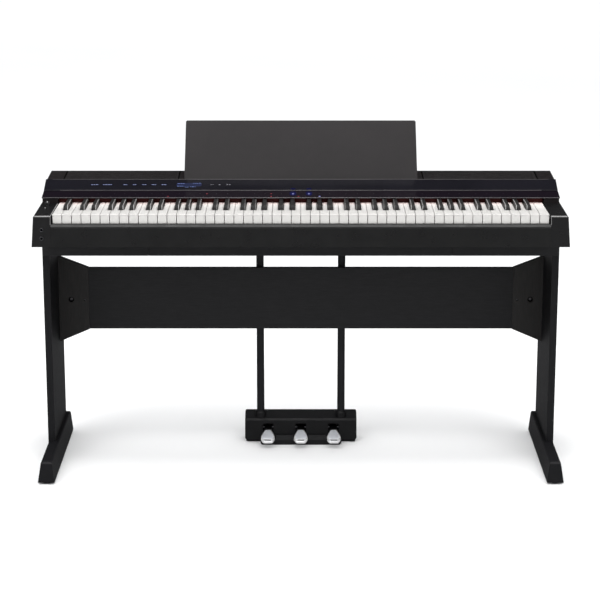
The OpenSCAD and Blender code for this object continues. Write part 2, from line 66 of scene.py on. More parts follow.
# ------------------------------------------------------------------ materials
class Mat:
    """A node material built up from noise, ramps and bumps in object space."""

    def __init__(self, name, color, rough, spec=0.5, metallic=0.0, coat=0.0, coat_rough=0.05):
        self.m = bpy.data.materials.new(name)
        self.m.use_nodes = True
        self.nt = self.m.node_tree
        self.b = self.nt.nodes["Principled BSDF"]
        self.b.inputs["Base Color"].default_value = (*color, 1)
        self.b.inputs["Roughness"].default_value = rough
        self.b.inputs["Specular IOR Level"].default_value = spec
        self.b.inputs["Metallic"].default_value = metallic
        self.b.inputs["Coat Weight"].default_value = coat
        self.b.inputs["Coat Roughness"].default_value = coat_rough
        self.m.diffuse_color = (*color, 1)
        self.tc = self.nt.nodes.new("ShaderNodeTexCoord")
        self.color, self.rough = color, rough
        self.height = None

    def new(self, kind, **inputs):
        n = self.nt.nodes.new(kind)
        for k, v in inputs.items():
            n.inputs[k].default_value = v
        return n

    def link(self, a, b):
        self.nt.links.new(a, b)

    def coords(self, scale=(1, 1, 1), rot=(0, 0, 0)):
        mp = self.nt.nodes.new("ShaderNodeMapping")
        mp.inputs["Scale"].default_value = scale
        mp.inputs["Rotation"].default_value = rot
        self.link(self.tc.outputs["Object"], mp.inputs["Vector"])
        return mp.outputs["Vector"]

    def noise(self, scale, detail=3.0, rough=0.5, stretch=(1, 1, 1), rot=(0, 0, 0), distortion=0.0):
        n = self.new("ShaderNodeTexNoise", Scale=scale, Detail=detail, Roughness=rough, Distortion=distortion)
        self.link(self.coords(stretch, rot), n.inputs["Vector"])
        return n.outputs["Fac"]

    def ramp(self, fac, stops):
        r = self.nt.nodes.new("ShaderNodeValToRGB")
        el = r.color_ramp.elements
        while len(el) < len(stops):
            el.new(0.5)
        for e, (p, c) in zip(el, stops):
            e.position = p
            e.color = (*c, 1) if len(c) == 3 else c
        self.link(fac, r.inputs["Fac"])
        return r.outputs["Color"]

    def remap(self, fac, lo, hi, a, b):
        n = self.new("ShaderNodeMapRange")
        n.inputs["From Min"].default_value = lo
        n.inputs["From Max"].default_value = hi
        n.inputs["To Min"].default_value = a
        n.inputs["To Max"].default_value = b
        self.link(fac, n.inputs["Value"])
        return n.outputs["Result"]

    def vary_color(self, scale, lo, hi, detail=3.0, stretch=(1, 1, 1)):
        f = self.noise(scale, detail, 0.55, stretch)
        c = self.ramp(f, [(0.35, tuple(x * lo for x in self.color)), (0.65, tuple(min(1, x * hi) for x in self.color))])
        self.link(c, self.b.inputs["Base Color"])
        return c

    def vary_rough(self, scale, lo, hi, detail=2.0, stretch=(1, 1, 1)):
        f = self.noise(scale, detail, 0.5, stretch)
        self.link(self.remap(f, 0.35, 0.65, lo, hi), self.b.inputs["Roughness"])

    def bump(self, fac, distance, strength=1.0):
        n = self.nt.nodes.new("ShaderNodeBump")
        n.inputs["Strength"].default_value = strength
        n.inputs["Distance"].default_value = distance
        self.link(fac, n.inputs["Height"])
        if self.height is not None:
            self.link(self.height, n.inputs["Normal"])
        self.height = n.outputs["Normal"]
        self.link(self.height, self.b.inputs["Normal"])
        return self


def satin_plastic(name, color, rough=0.42, spec=0.3, grain=1500.0, depth=0.00003, var=0.10):
    m = Mat(name, color, rough, spec)
    m.vary_color(9.0, 1 - var, 1 + var)
    m.vary_rough(35.0, rough - 0.05, rough + 0.06)
    m.bump(m.noise(grain, 4.0, 0.6), depth, 0.6)
    return m.m


def textured_plastic(name, color, rough=0.55, spec=0.28):
    """Spark-eroded moulding texture: rounded grains of about half a millimetre."""
    m = Mat(name, color, rough, spec)
    m.vary_color(14.0, 0.88, 1.14)
    v = m.new("ShaderNodeTexVoronoi", Scale=1700.0)
    v.feature = "SMOOTH_F1"
    m.link(m.coords(), v.inputs["Vector"])
    m.bump(v.outputs["Distance"], 0.00006, 0.55)
    m.bump(m.noise(420.0, 4.0, 0.6), 0.00004, 0.5)
    m.vary_rough(60.0, rough - 0.06, rough + 0.06)
    return m.m


def gloss_panel(name, color, rough=0.14, spec=0.36, coat=0.15):
    m = Mat(name, color, rough, spec, coat=coat, coat_rough=0.06)
    m.vary_color(5.0, 0.85, 1.15)
    # faint wipe marks in the gloss
    f = m.noise(7.0, 6.0, 0.65, (1, 4, 4), distortion=1.2)
    m.link(m.remap(f, 0.35, 0.7, rough - 0.03, rough + 0.07), m.b.inputs["Roughness"])
    m.bump(m.noise(60.0, 2.0, 0.5), 0.00002, 0.25)
    return m.m


def black_board(name, color, rough=0.46, spec=0.30, along="z"):
    """Black laminate on board: a fine pressed grain that runs along the board."""
    st = {"z": (14, 14, 1), "x": (1, 14, 14), "y": (14, 1, 14)}[along]
    m = Mat(name, color, rough, spec)
    f = m.noise(38.0, 8.0, 0.62, st, distortion=0.35)
    c = m.ramp(f, [(0.30, tuple(x * 0.72 for x in color)), (0.52, color), (0.74, tuple(x * 1.32 for x in color))])
    m.link(c, m.b.inputs["Base Color"])
    g = m.noise(95.0, 6.0, 0.7, st)
    m.link(m.remap(g, 0.3, 0.7, rough - 0.07, rough + 0.09), m.b.inputs["Roughness"])
    m.bump(g, 0.00012, 0.5)
    m.bump(m.noise(1300.0, 3.0, 0.5), 0.00003, 0.4)
    return m.m


def key_plastic(name, color, rough=0.34, spec=0.42):
    m = Mat(name, color, rough, spec)
    f = m.noise(16.0, 3.0, 0.5, (1, 0.25, 1))
    c = m.ramp(f, [(0.3, tuple(x * 0.985 for x in color)), (0.7, tuple(min(1, x * 1.01) for x in color))])
    # painted light: the rear end is painted lighter against the shade under the panel, then pinkish as a painted
    # reflection of the red felt
    sep = m.nt.nodes.new("ShaderNodeSeparateXYZ")
    m.link(m.tc.outputs["Object"], sep.inputs["Vector"])
    for y0, y1, painted_light_tint in ((-0.100, -0.045, (0.77, 0.735, 0.71, 1)), (-0.042, -0.010, (0.95, 0.74, 0.71, 1))):
        near = m.remap(sep.outputs["Y"], y0, y1, 0.0, 1.0)
        mixer = m.nt.nodes.new("ShaderNodeMix")
        mixer.data_type = "RGBA"
        mixer.inputs[7].default_value = painted_light_tint
        m.link(near, mixer.inputs[0])
        m.link(c, mixer.inputs[6])
        c = mixer.outputs[2]
    m.link(c, m.b.inputs["Base Color"])
    m.vary_rough(12.0, rough - 0.012, rough + 0.015)
    # very fine lengthwise tooth that gives the finger grip
    m.bump(m.noise(900.0, 3.0, 0.6, (1, 0.12, 1)), 0.000006, 0.15)
    return m.m


def ebony_plastic(name, color, rough=0.42, spec=0.32):
    m = Mat(name, color, rough, spec)
    f = m.noise(60.0, 4.0, 0.6, (5, 0.4, 5), distortion=0.3)
    c = m.ramp(f, [(0.3, tuple(x * 0.8 for x in color)), (0.7, tuple(x * 1.25 for x in color))])
    m.link(c, m.b.inputs["Base Color"])
    m.link(m.remap(f, 0.3, 0.7, rough - 0.02, rough + 0.03), m.b.inputs["Roughness"])
    m.bump(f, 0.000008, 0.15)
    return m.m


def felt(name, color):
    m = Mat(name, color, 0.95, 0.1)
    m.b.inputs["Sheen Weight"].default_value = 0.25
    m.b.inputs["Sheen Roughness"].default_value = 0.5
    m.b.inputs["Sheen Tint"].default_value = (0.9, 0.35, 0.3, 1)
    f = m.noise(700.0, 6.0, 0.75, distortion=1.0)
    c = m.ramp(f, [(0.3, tuple(x * 0.55 for x in color)), (0.7, tuple(min(1, x * 1.5) for x in color))])
    m.link(c, m.b.inputs["Base Color"])
    m.bump(f, 0.0004, 0.8)
    return m.m


def metal(name, color, rough, brushed=0.0, along="x", noise_rough=0.05):
    m = Mat(name, color, rough, 0.5, metallic=1.0)
    st = {"x": (0.6, 60, 60), "y": (60, 0.6, 60), "z": (60, 60, 0.6)}[along]
    m.vary_color(30.0, 0.93, 1.05)
    f = m.noise(55.0, 5.0, 0.6, st if brushed else (1, 1, 1))
    m.link(m.remap(f, 0.3, 0.7, max(0.02, rough - noise_rough), rough + noise_rough), m.b.inputs["Roughness"])
    if brushed:
        m.bump(f, 0.00004, brushed)
    else:
        m.bump(m.noise(25.0, 2.0, 0.5), 0.00003, 0.15)
    return m.m


def painted(name, color, rough=0.35, spec=0.4):
    m = Mat(name, color, rough, spec)
    m.vary_color(20.0, 0.85, 1.2)
    m.bump(m.noise(380.0, 3.0, 0.55), 0.00006, 0.3)      # orange peel of the paint
    m.vary_rough(50.0, rough - 0.05, rough + 0.07)
    return m.m


def rubber(name, color):
    m = Mat(name, color, 0.75, 0.25)
    m.vary_color(60.0, 0.8, 1.25)
    m.bump(m.noise(700.0, 4.0, 0.6), 0.00008, 0.6)
    return m.m


def board_green(name, color):
    m = Mat(name, color, 0.35, 0.5)
    br = m.nt.nodes.new("ShaderNodeTexBrick")
    br.inputs["Scale"].default_value = 60.0
    br.inputs["Mortar Size"].default_value = 0.03
    br.inputs["Color1"].default_value = (*color, 1)
    br.inputs["Color2"].default_value = (*(x * 0.8 for x in color), 1)
    br.inputs["Mortar"].default_value = (*(min(1, x * 1.9) for x in color), 1)
    m.link(m.coords(), br.inputs["Vector"])
    m.link(br.outputs["Color"], m.b.inputs["Base Color"])
    m.bump(m.noise(300.0, 2.0, 0.5), 0.00003, 0.3)
    return m.m


def glow(name, color, strength):
    """Small lit window: an emissive plastic with a slightly uneven diffuser."""
    m = Mat(name, color, 0.3, 0.5)
    f = m.noise(900.0, 2.0, 0.5)
    c = m.ramp(f, [(0.3, tuple(x * 0.85 for x in color)), (0.7, color)])
    m.link(c, m.b.inputs["Base Color"])
    m.link(c, m.b.inputs["Emission Color"])
    m.b.inputs["Emission Strength"].default_value = strength
    return m.m


M = {
    "case": satin_plastic("case_satin_black", (0.0051, 0.0050, 0.0054), 0.42, 0.45),
    "rail": satin_plastic("rail_satin_black", (0.0060, 0.0060, 0.0060), 0.32, 0.37),
    "cheek": satin_plastic("cheek_satin_black", (0.0050, 0.0049, 0.0052), 0.32, 0.42),
    "deck": textured_plastic("deck_textured_black", (0.0102, 0.0079, 0.0084), 0.55, 0.18),
    "panel": gloss_panel("panel_gloss_black", (0.0064, 0.0061, 0.0086), 0.15, 0.19, 0.08),
    "strip": gloss_panel("strip_smoked_gloss", (0.0052, 0.0032, 0.0060), 0.16, 0.11, 0.05),
    "grille": textured_plastic("grille_black", (0.0130, 0.0110, 0.0115), 0.58, 0.21),
    "rest": satin_plastic("rest_satin_grey", (0.0215, 0.0192, 0.0198), 0.50, 0.26, 1100.0, 0.00004, 0.05),
    "white": key_plastic("key_ivory_white", (0.535, 0.523, 0.506)),
    "black": ebony_plastic("key_ebony_black", (0.020, 0.019, 0.0188), 0.34, 0.10),
    # painted highlights: light grey strips on the black keys' shoulders and on the left cheek's inner edge
    "painted_highlight": satin_plastic("edge_painted_highlight_light", (0.36, 0.355, 0.35), 0.25, 0.5),
    "painted_highlight_soft": satin_plastic("edge_painted_highlight_dim", (0.17, 0.167, 0.165), 0.25, 0.5),
    "key_wood": black_board("key_core_wood", (0.36, 0.22, 0.11), 0.6, 0.3, "y"),
    "felt": felt("felt_wine_red", (0.052, 0.0125, 0.0120)),
    "zinc": metal("zinc_plated_steel", (0.58, 0.59, 0.61), 0.34, 0.2, "x"),
    "steel": metal("turned_steel", (0.50, 0.51, 0.53), 0.26, 0.15, "z"),
    "dark_steel": metal("blackened_steel", (0.16, 0.16, 0.17), 0.38),
    "pcb": board_green("solder_mask_green", (0.02, 0.12, 0.055)),
    "dome": rubber("dome_rubber_grey", (0.12, 0.12, 0.125)),
    "cone": rubber("speaker_cone_black", (0.02, 0.02, 0.022)),
    "control": satin_plastic("control_black", (0.010, 0.010, 0.011), 0.30, 0.5),
    "socket": satin_plastic("socket_black", (0.016, 0.016, 0.018), 0.40, 0.5),
    "leg": black_board("leg_black_laminate", (0.0084, 0.0084, 0.0094), 0.52, 0.16, "z"),
    "board": black_board("board_black_laminate", (0.0105, 0.0105, 0.0116), 0.52, 0.32, "x"),
    "foot": black_board("foot_black_laminate", (0.0072, 0.0072, 0.0084), 0.50, 0.20, "y"),
    "bracket": black_board("bracket_black_laminate", (0.0185, 0.0172, 0.0166), 0.56, 0.30, "z"),
    "glide": rubber("glide_rubber", (0.012, 0.012, 0.013)),
    "box": textured_plastic("pedal_box_black", (0.0048, 0.0048, 0.0054), 0.46, 0.26),
    "chrome": metal("pedal_polished_nickel", (0.97, 0.975, 0.99), 0.24, 0.0, "y", 0.04),
    "chrome_brushed": metal("pedal_brushed_tread", (0.76, 0.78, 0.82), 0.42, 0.35, "y", 0.07),
    "rod": painted("rod_satin_black", (0.0062, 0.0062, 0.0076), 0.38, 0.36),
    "blue": glow("led_blue", (0.13, 0.18, 0.40), 0.30),
    "blue_soft": glow("led_blue_soft", (0.19, 0.22, 0.37), 0.30),
    "blue_deep": glow("led_backlight_navy", (0.0035, 0.0065, 0.030), 0.12),
    "blue_dot": glow("led_blue_dot", (0.125, 0.13, 0.235), 0.85),
    "blue_halo": glow("led_blue_halo", (0.001, 0.0014, 0.036), 0.95),
    "blue_haze": glow("led_blue_haze", (0.0008, 0.0010, 0.017), 0.95),
    # painted glow round the lit legends
    "legend_painted_glow": glow("led_legend_painted_glow", (0.0008, 0.0014, 0.0085), 0.60),
    "panel_end": satin_plastic("panel_end_black", (0.013, 0.0125, 0.014), 0.6, 0.10),
    "red": glow("led_red", (0.20, 0.014, 0.022), 0.16),
    "unlit": satin_plastic("led_unlit", (0.020, 0.018, 0.022), 0.3, 0.4),
    "grey_mark": satin_plastic("panel_mark_grey", (0.28, 0.28, 0.31), 0.4, 0.4),
    # painted highlight on the cheeks' front edges
    "cheek_painted_highlight": satin_plastic("cheek_front_painted_highlight_grey", (0.145, 0.142, 0.142), 0.34, 0.45),
    "pointer": satin_plastic("pointer_light_grey", (0.76, 0.76, 0.76), 0.30, 0.5),
    # painted highlights: grey lines for the lip under the light strip, the cam lock glints and the touch panel edges
    "trim": satin_plastic("lip_and_glint_painted_highlight_grey", (0.105, 0.099, 0.102), 0.32, 0.42),
    "panel_painted_highlight": satin_plastic("panel_line_painted_highlight_grey", (0.088, 0.081, 0.083), 0.36, 0.40),
    "dark_arm": painted("pedal_arm_black", (0.0022, 0.0022, 0.0026), 0.34, 0.30),
    "toe": metal("pedal_toe_shadow", (0.05, 0.052, 0.058), 0.5, 0.0, "x"),
    "seam": satin_plastic("seam_shadow_black", (0.0012, 0.0012, 0.0012), 0.9, 0.05),
}
for k in ("blue_halo", "blue_haze", "legend_painted_glow"):
    M[k].node_tree.nodes["Principled BSDF"].inputs["Specular IOR Level"].default_value = 0.14
for k in ("chrome", "chrome_brushed"):
    M[k].node_tree.nodes["Principled BSDF"].inputs["Metallic"].default_value = 0.5 if k == "chrome" else 0.42


# ------------------------------------------------------------------ mesh helpers
def add(name, bm, mat, smooth=True, scale=MM):
    me = bpy.data.meshes.new(name)
    bmesh.ops.recalc_face_normals(bm, faces=bm.faces)
    bm.to_mesh(me)
    bm.free()
    if scale != 1:
        me.transform(Matrix.Scale(scale, 4))
    me.materials.append(mat)
    if smooth:
        me.polygons.foreach_set("use_smooth", [True] * len(me.polygons))
    o = bpy.data.objects.new(name, me)
    scene.collection.objects.link(o)
    return o


def bevel(o, width, seg=3, angle=30, clamp=True, harden=True):
    """Rounds the sharp edges of a piece; the width is in millimetres."""
    b = o.modifiers.new("edge", "BEVEL")
    b.width = width * MM
    b.segments = seg
    b.limit_method = "ANGLE"
    b.angle_limit = math.radians(angle)
    b.use_clamp_overlap = clamp
    b.harden_normals = harden
    b.miter_outer = "MITER_ARC"
    return o


def dress(node, mat, width=0.0, seg=3, angle=30, clamp=True):
    o = NODES[node]
    o.data.materials.clear()
    o.data.materials.append(mat)
    if width:
        o.data.polygons.foreach_set("use_smooth", [True] * len(o.data.polygons))
        bevel(o, width, seg, angle, clamp)
    return o


def prism(bm, pts, axis, a, b):
    """Adds a closed prism: pts is an outline in the two other axes, from a to b along axis."""
    def at(p, t):
        return {"x": (t, p[0], p[1]), "y": (p[0], t, p[1]), "z": (p[0], p[1], t)}[axis]
    lo = [bm.verts.new(at(p, a)) for p in pts]
    hi = [bm.verts.new(at(p, b)) for p in pts]
    n = len(pts)
    bm.faces.new(lo)
    bm.faces.new(hi[::-1])
    for i in range(n):
        bm.faces.new((lo[i], hi[i], hi[(i + 1) % n], lo[(i + 1) % n]))
    return lo, hi


def pill(cx, cy, w, h, seg=6):
    """Outline of a bar with round ends, w wide and h high."""
    r = min(w, h) / 2
    dx, dy = w / 2 - r, h / 2 - r
    out = []
    for sx, sy, a0 in ((1, 1, 0), (-1, 1, 90), (-1, -1, 180), (1, -1, 270)):
        for k in range(seg + 1):
            a = math.radians(a0 + 90 * k / seg)
            p = (cx + sx * dx + r * math.cos(a), cy + sy * dy + r * math.sin(a))
            if not out or math.dist(p, out[-1]) > 1e-6:
                out.append(p)
    if math.dist(out[0], out[-1]) < 1e-6:
        out.pop()
    return out


def ride(o, body="root", slot=None, *nodes):
    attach(o, body)
    if nodes:
        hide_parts(*nodes)
    return o


# ------------------------------------------------------------------ keys
def has_black(w):
    return 0 <= w < 51 and w % 7 in (0, 2, 3, 5, 6)


def black_x(w):
    return KX0 + (w + 1) * PITCH + (3, 0, -2.5, 2.5, 0, -3, 0)[w % 7]


def kz(y, z):
    return z - (y - WY) * TS


def outline_loop(bm, pts, zf):
    return [bm.verts.new((x, y, zf(x, y))) for x, y in pts]


def skin(bm, a, b):
    n = len(a)
    for i in range(n):
        bm.faces.new((a[i], a[(i + 1) % n], b[(i + 1) % n], b[i]))


def white_key(bm, w):
    """One white key: a moulded cap with a lip over its front, on a slimmer body."""
    x0 = KX0 + w * PITCH + GAP / 2
    x1 = x0 + PITCH - GAP
    xl = black_x(w - 1) + BLACK_W / 2 + GAP if has_black(w - 1) else x0
    xr = black_x(w) - BLACK_W / 2 - GAP if has_black(w) else x1
    yn = BY - 1.2       # where the key narrows beside its black neighbours

    def plan(front, inset):
        a, b, c, d = x0 + inset, x1 - inset, xl + inset, xr - inset
        p = [(a, front), (b, front)]
        if d < b - 0.01:
            p += [(b, yn), (d, yn)]
        p += [(d, -8.0), (c, -8.0)]
        if c > a + 0.01:
            p += [(c, yn), (a, yn)]
        return p

    # cap with a rounded upper edge
    r = 0.9
    loops = [(WY, 0.0, -3.2), (WY, 0.0, -r)]
    for k in range(1, 4):
        t = math.radians(30 * k)
        loops.append((WY + r * (1 - math.cos(t)), 0.45 * (1 - math.cos(t)), -r + r * math.sin(t)))
    rings = [outline_loop(bm, plan(f, i), lambda x, y, dz=dz: kz(y, WZ) + dz) for f, i, dz in loops]
    for a, b in zip(rings, rings[1:]):
        skin(bm, a, b)
    bm.faces.new(rings[-1])
    low = outline_loop(bm, plan(WY + 0.9, 0.35), lambda x, y: kz(y, WZ) - 4.0)
    skin(bm, low, rings[0])
    bot = outline_loop(bm, plan(WY + 0.9, 0.35), lambda x, y: BZ + 59.1)
    skin(bm, bot, low)
    bm.faces.new(bot[::-1])
    # the front face hangs lower than the body
    prism(bm, [(WY + 0.9, BZ + 55.8), (WY + 3.5, BZ + 55.8), (WY + 3.5, BZ + 59.4), (WY + 0.9, BZ + 59.4)], "x", x0 + 0.35, x1 - 0.35)


def bearing(bm, cy, cz, r, below, above, a, b):
    """Two half blocks round a bore; below and above are the outlines, from front to back, without the bore."""
    n = 20
    arc = [(cy - r * math.cos(math.pi * k / n), r * math.sin(math.pi * k / n)) for k in range(n + 1)]
    prism(bm, [(y, cz + d) for y, d in arc] + above[::-1], "x", a, b)
    prism(bm, [(y, cz - d) for y, d in arc] + below[::-1], "x", a, b)


def key_tail(bm, xa, xb, z0=59.0, y0=-8.2):
    prism(bm, [(y0, BZ + z0), (40, BZ + z0), (40, BZ + 67.8), (y0, BZ + 67.8)], "x", xa, xb)
    bearing(bm, 72.0, BZ + 63.0, 2.35, [(39.5, BZ + 63), (39.5, BZ + 59.2), (82, BZ + 59.2), (83.8, BZ + 61), (83.8, BZ + 63)],
            [(39.5, BZ + 63), (39.5, BZ + 69.8), (82, BZ + 69.8), (83.8, BZ + 68), (83.8, BZ + 63)], xa + 2.2, xb - 2.2)


def black_key(bm, w):
    """One black key: tapered sides, a sloped front and a softly crowned top."""
    x = black_x(w)
    h = BLACK_W / 2
    top = WZ + 11.4
    ys = [(BY, 0, 0.0), (BY + 0.5, 0.35, 0.2), (BY + 3.2, 0.8, 0.62), (BY + 5.8, 1.0, 0.9), (BY + 7.4, 1.0, 0.985), (BY + 9.5, 1.0, 1.0), (-60, 1, 1.0), (-9, 1, 1.0)]
    rings = []
    for y, _, f in ys:
        t = kz(y, top)
        base = kz(y, WZ) - 6.0 if f == 0 else None
        zb = BZ + 62.0
        zt = kz(y, WZ) - 3.5 + (t - (kz(y, WZ) - 3.5)) * f
        wt = h - 1.5 * (0.2 + 0.8 * f)
        pr = [(-h, zb), (-h, kz(y, WZ) - 4.2)]
        n = 8
        rr = 1.5
        # side, shoulder arc and crowned top
        pr += [(-wt - 0.05, zt - rr)]
        for k in range(1, 4):
            a = math.radians(30 * k)
            pr.append((-wt + rr * (1 - math.cos(a)), zt - rr + rr * math.sin(a) - 0.0))
        pr.append((0, zt + 0.12 * f))
        pr += [(-px, pz) for px, pz in reversed(pr[:-1])]
        rings.append([bm.verts.new((x + px, y, pz)) for px, pz in pr])
    for a, b in zip(rings, rings[1:]):
        skin(bm, a, b)
    bm.faces.new(rings[0])
    bm.faces.new(rings[-1][::-1])


def shoulder_painted_highlight(bm, w):
    """Painted highlight: a light grey strip on the shoulder of a black key, on the side that faces the middle of the
    keyboard.
    """
    x, h, top = black_x(w), BLACK_W / 2, WZ + 11.4
    s = -1 if x > 0 else 1
    rows = []
    for y, f in ((BY + 1.2, 0.30), (BY + 3.2, 0.62), (BY + 5.8, 0.90), (BY + 7.4, 0.985), (BY + 9.5, 1.0), (-60, 1.0), (-22, 1.0)):
        low = kz(y, WZ) - 3.5
        zt = low + (kz(y, top) - low) * f
        wt = h - 1.5 * (0.2 + 0.8 * f)
        cx, cz = x + s * (wt - 0.50), zt - 0.50
        q = 0.7071
        rows.append([bm.verts.new((cx + s * (a * q + b * q), y, cz - a * q + b * q)) for a, b in ((-0.85, -0.2), (0.85, -0.2), (0.85, 0.16), (-0.85, 0.16))])
    for a, b in zip(rows, rows[1:]):
        skin(bm, a, b)
    bm.faces.new(rows[0])
    bm.faces.new(rows[-1][::-1])


def make_keys(name, body, whites=(), blacks=()):
    if whites:
        bm = bmesh.new()
        for w in whites:
            white_key(bm, w)
        caps = add(name + "_cap" if not blacks else name, bm, M["white"])
        bevel(caps, 0.35, 2, 40, harden=True)
        ride(caps, body, "key_white", name)
    if blacks:
        bm = bmesh.new()
        for w in blacks:
            black_key(bm, w)
        caps = add(name + "_cap", bm, M["black"])
        ride(caps, body, "key_black", name)
        # painted highlights, brighter on keys far from the middle, dimmer nearer it and none near the middle
        for tag, mat, near, far in (("_shoulder", "painted_highlight", 240, 700), ("_shoulder_soft", "painted_highlight_soft", 95, 240)):
            ws = [w for w in blacks if near < abs(black_x(w)) <= far]
            if ws:
                bm = bmesh.new()
                for w in ws:
                    shoulder_painted_highlight(bm, w)
                ride(add(name + tag, bm, M[mat], smooth=False), body, "key_black")
    bm = bmesh.new()
    for w in whites:
        x0 = KX0 + w * PITCH + GAP / 2
        x1 = x0 + PITCH - GAP
        xl = black_x(w - 1) + BLACK_W / 2 + GAP if has_black(w - 1) else x0
        xr = black_x(w) - BLACK_W / 2 - GAP if has_black(w) else x1
        key_tail(bm, xl + 0.2, xr - 0.2)
    for w in blacks:
        key_tail(bm, black_x(w) - BLACK_W / 2 + 0.2, black_x(w) + BLACK_W / 2 - 0.2, 61.0, -9.2)
    core = add(name + "_stick", bm, M["key_wood"])
    bevel(core, 0.6, 2)
    ride(core, body)


make_keys("white_keys_bass", "white_keys_bass", whites=range(0, 23))
make_keys("white_keys_treble", "white_keys_treble", whites=range(30, 52))
make_keys("black_keys_bass", "black_keys_bass", blacks=[w for w in range(0, 23) if has_black(w)])
make_keys("black_keys_treble", "black_keys_treble", blacks=[w for w in range(30, 51) if has_black(w)])
for w, n in zip(range(23, 30), ("c4", "d4", "e4", "f4", "g4", "a4", "b4")):
    make_keys("key_" + n, "key_" + n, whites=[w])
for w, n in ((23, "c_sharp4"), (24, "d_sharp4"), (26, "f_sharp4"), (27, "g_sharp4"), (28, "a_sharp4")):
    make_keys("key_" + n, "key_" + n, blacks=[w])

# ------------------------------------------------------------------ case: CAD pieces with rounded edges and finishes
dress("bottom_case", M["case"], 0.8, 2)
dress("front_rail", M["rail"], 1.0, 3, 20)
dress("left_cheek", M["cheek"], 1.2, 3)
dress("right_cheek", M["cheek"], 1.2, 3)
dress("top_cover", M["deck"], 0.9, 3)
dress("control_panel", M["panel"], 0.3, 2, 20)
dress("light_strip", M["strip"], 0.3, 2, 20)
dress("rest_holder", M["deck"], 0.5, 2)
dress("music_rest", M["rest"], 1.1, 3)
dress("key_felt", M["felt"], 0.8, 2)
dress("key_frame", M["zinc"])
dress("key_pivot_rod", M["steel"])
dress("key_stop_felt", M["felt"], 0.8, 2)
dress("contact_board", M["pcb"])
dress("contact_domes", M["dome"], 0.8, 2, 40)
dress("main_board", M["pcb"])
dress("left_speaker", M["cone"])
dress("right_speaker", M["cone"])
dress("volume_control", M["steel"])
dress("power_button", M["control"], 0.6, 3, 40)
dress("phones_jacks", M["socket"], 0.5, 2, 40)
dress("rear_jack_panel", M["socket"], 0.5, 2, 40)
dress("case_screws", M["dark_steel"], 0.5, 2, 40)
dress("left_leg", M["leg"], 1.2, 3)
dress("right_leg", M["leg"], 1.2, 3)
dress("left_foot", M["foot"], 1.6, 3)
dress("right_foot", M["foot"], 1.6, 3)
dress("foot_glides", M["glide"], 0.8, 2, 40)
dress("back_board", M["board"], 1.0, 3)
dress("left_bracket", M["bracket"], 1.0, 3)
dress("right_bracket", M["bracket"], 1.0, 3)
dress("top_rail", M["board"], 1.0, 3)
dress("stand_bolts", M["dark_steel"], 0.6, 2, 40)
dress("pedal_housing", M["box"], 1.2, 3)
dress("pedal_base", M["box"], 1.0, 3)
dress("pedal_axle", M["steel"])
dress("pedal_rods", M["rod"], 0.8, 2, 40)
dress("rod_collars", M["box"], 1.0, 2, 40)


def deck_z(y):
    return BZ + 116.2 + (y - 70.4) * 4.8 / 95.6


# ------------------------------------------------------------------ speaker grilles: perforated sheet in a frame
def make_grille(side):
    name = "left_speaker_grille" if side < 0 else "right_speaker_grille"
    xa, xb, ya, yb = 317.7, 611.4, 76.6, 164.4
    px, hole = 3.0, 1.5
    m = 5.0
    xs = [xa + 0.01]
    nx = int((xb - xa - 2 * m) / px)
    ny = int((yb - ya - 2 * m) / px)
    ox = (xb + xa - nx * px) / 2
    oy = (yb + ya - ny * px) / 2
    gx = [xa]
    for i in range(nx):
        gx += [ox + i * px + (px - hole) / 2, ox + i * px + (px + hole) / 2]
    gx.append(xb)
    gy = [ya]
    for i in range(ny):
        gy += [oy + i * px + (px - hole) / 2, oy + i * px + (px + hole) / 2]
    gy.append(yb)
    bm = bmesh.new()
    t = 2.4
    top = [[bm.verts.new((side * x, y, deck_z(y))) for y in gy] for x in gx]
    bot = [[bm.verts.new((side * x, y, deck_z(y) - t)) for y in gy] for x in gx]
    nX, nY = len(gx) - 1, len(gy) - 1

    def is_hole(i, j):
        return i % 2 == 1 and j % 2 == 1

    for i in range(nX):
        for j in range(nY):
            if is_hole(i, j):
                for (a, b) in (((i, j), (i + 1, j)), ((i + 1, j), (i + 1, j + 1)), ((i + 1, j + 1), (i, j + 1)), ((i, j + 1), (i, j))):
                    bm.faces.new((top[a[0]][a[1]], top[b[0]][b[1]], bot[b[0]][b[1]], bot[a[0]][a[1]]))
            else:
                bm.faces.new((top[i][j], top[i + 1][j], top[i + 1][j + 1], top[i][j + 1]))
                bm.faces.new((bot[i][j], bot[i][j + 1], bot[i + 1][j + 1], bot[i + 1][j]))
    for i in range(nX):
        bm.faces.new((top[i][0], bot[i][0], bot[i + 1][0], top[i + 1][0]))
        bm.faces.new((top[i][nY], top[i + 1][nY], bot[i + 1][nY], bot[i][nY]))
    for j in range(nY):
        bm.faces.new((top[0][j], top[0][j + 1], bot[0][j + 1], bot[0][j]))
        bm.faces.new((top[nX][j], bot[nX][j], bot[nX][j + 1], top[nX][j + 1]))
    o = add(name + "_sheet", bm, M["grille"], smooth=False)
    ride(o, "root", "grille", name)
    # dark acoustic cloth under the holes
    bm = bmesh.new()
    prism(bm, [(ya + 2, deck_z(ya + 2) - t - 0.5), (yb - 2, deck_z(yb - 2) - t - 0.5), (yb - 2, deck_z(yb - 2) - t - 0.1), (ya + 2, deck_z(ya + 2) - t - 0.1)], "x",
          min(side * (xa + 2), side * (xb - 2)), max(side * (xa + 2), side * (xb - 2)))
    cloth = add(name + "_cloth", bm, M["cone"], smooth=False)
    ride(cloth)


make_grille(-1)
make_grille(1)

# ------------------------------------------------------------------ control panel: touch marks and guide lights
PANEL = ((23.5, BZ + 101.5), (67.0, BZ + 120.0))      # (y, z) of the face's lower and upper edge
STRIP = ((-18.5, BZ + 92.0), (22.0, BZ + 99.3))


def on_face(face, t, x, lift=0.06):
    (y0, z0), (y1, z1) = face
    dy, dz = y1 - y0, z1 - z0
    L = math.hypot(dy, dz)
    n = (-dz / L, dy / L)
    return (x, y0 + dy * t + n[0] * lift, z0 + dz * t + n[1] * lift), (dy / L, dz / L), n


